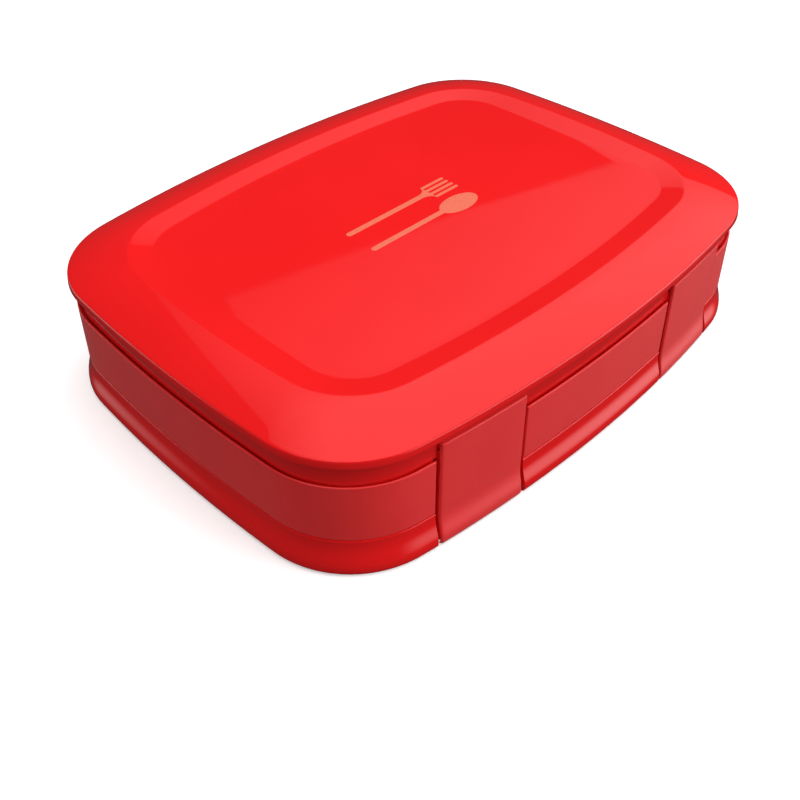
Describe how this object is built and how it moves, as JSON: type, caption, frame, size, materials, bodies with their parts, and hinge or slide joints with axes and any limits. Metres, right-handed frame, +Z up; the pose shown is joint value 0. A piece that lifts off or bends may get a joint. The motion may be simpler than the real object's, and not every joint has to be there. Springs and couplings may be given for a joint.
{
  "type": "lunch box",
  "caption": "Flat lunch box with a domed hinged lid, swinging front latches, rubber grip bands and a lift-out compartment tray.",
  "frame": {"origin": "centre of the underside, where the box rests", "axes": "+X along the length, -Y towards the latches, +Y towards the lid hinge, +Z up"},
  "size_m": [0.2162, 0.1658, 0.0508],
  "materials": {
    "shell": "polished red ABS",
    "grip": "matte overmoulded red rubber",
    "tray": "satin light grey polypropylene",
    "liner": "smooth light grey plastic",
    "seal": "soft white silicone",
    "pin": "drawn stainless wire"
  },
  "bodies": {
    "base": {"base_shell": "shell", "grip_band_left": "grip", "grip_band_right": "grip", "grip_band_front": "grip", "grip_band_rear": "grip", "food_tray": "tray", "hinge_left_strap": "shell", "hinge_left_grip": "grip", "hinge_left_pin": "pin", "hinge_right_strap": "shell", "hinge_right_grip": "grip", "hinge_right_pin": "pin"},
    "lid": {"lid_shell": "shell", "lid_inner_panel": "liner", "lid_seal": "seal", "latch_left_pin": "pin", "latch_right_pin": "pin"},
    "latch_left": {"latch_left_core": "shell", "latch_left_grip": "grip"},
    "latch_right": {"latch_right_core": "shell", "latch_right_grip": "grip"}
  },
  "joints": [
    {"name": "lid_hinge", "type": "hinge", "parent": "base", "child": "lid", "pos_m": [0, 0.0796, 0.041], "axis": [-1, 0, 0], "range_deg": [0, 120]},
    {"name": "latch_left_hinge", "type": "hinge", "parent": "lid", "child": "latch_left", "pos_m": [-0.0531, -0.0763, 0.0381], "axis": [-0.9945, 0.105, 0], "range_deg": [0, 85]},
    {"name": "latch_right_hinge", "type": "hinge", "parent": "lid", "child": "latch_right", "pos_m": [0.0531, -0.0763, 0.0381], "axis": [-0.9945, -0.105, 0], "range_deg": [0, 85]}
  ]
}
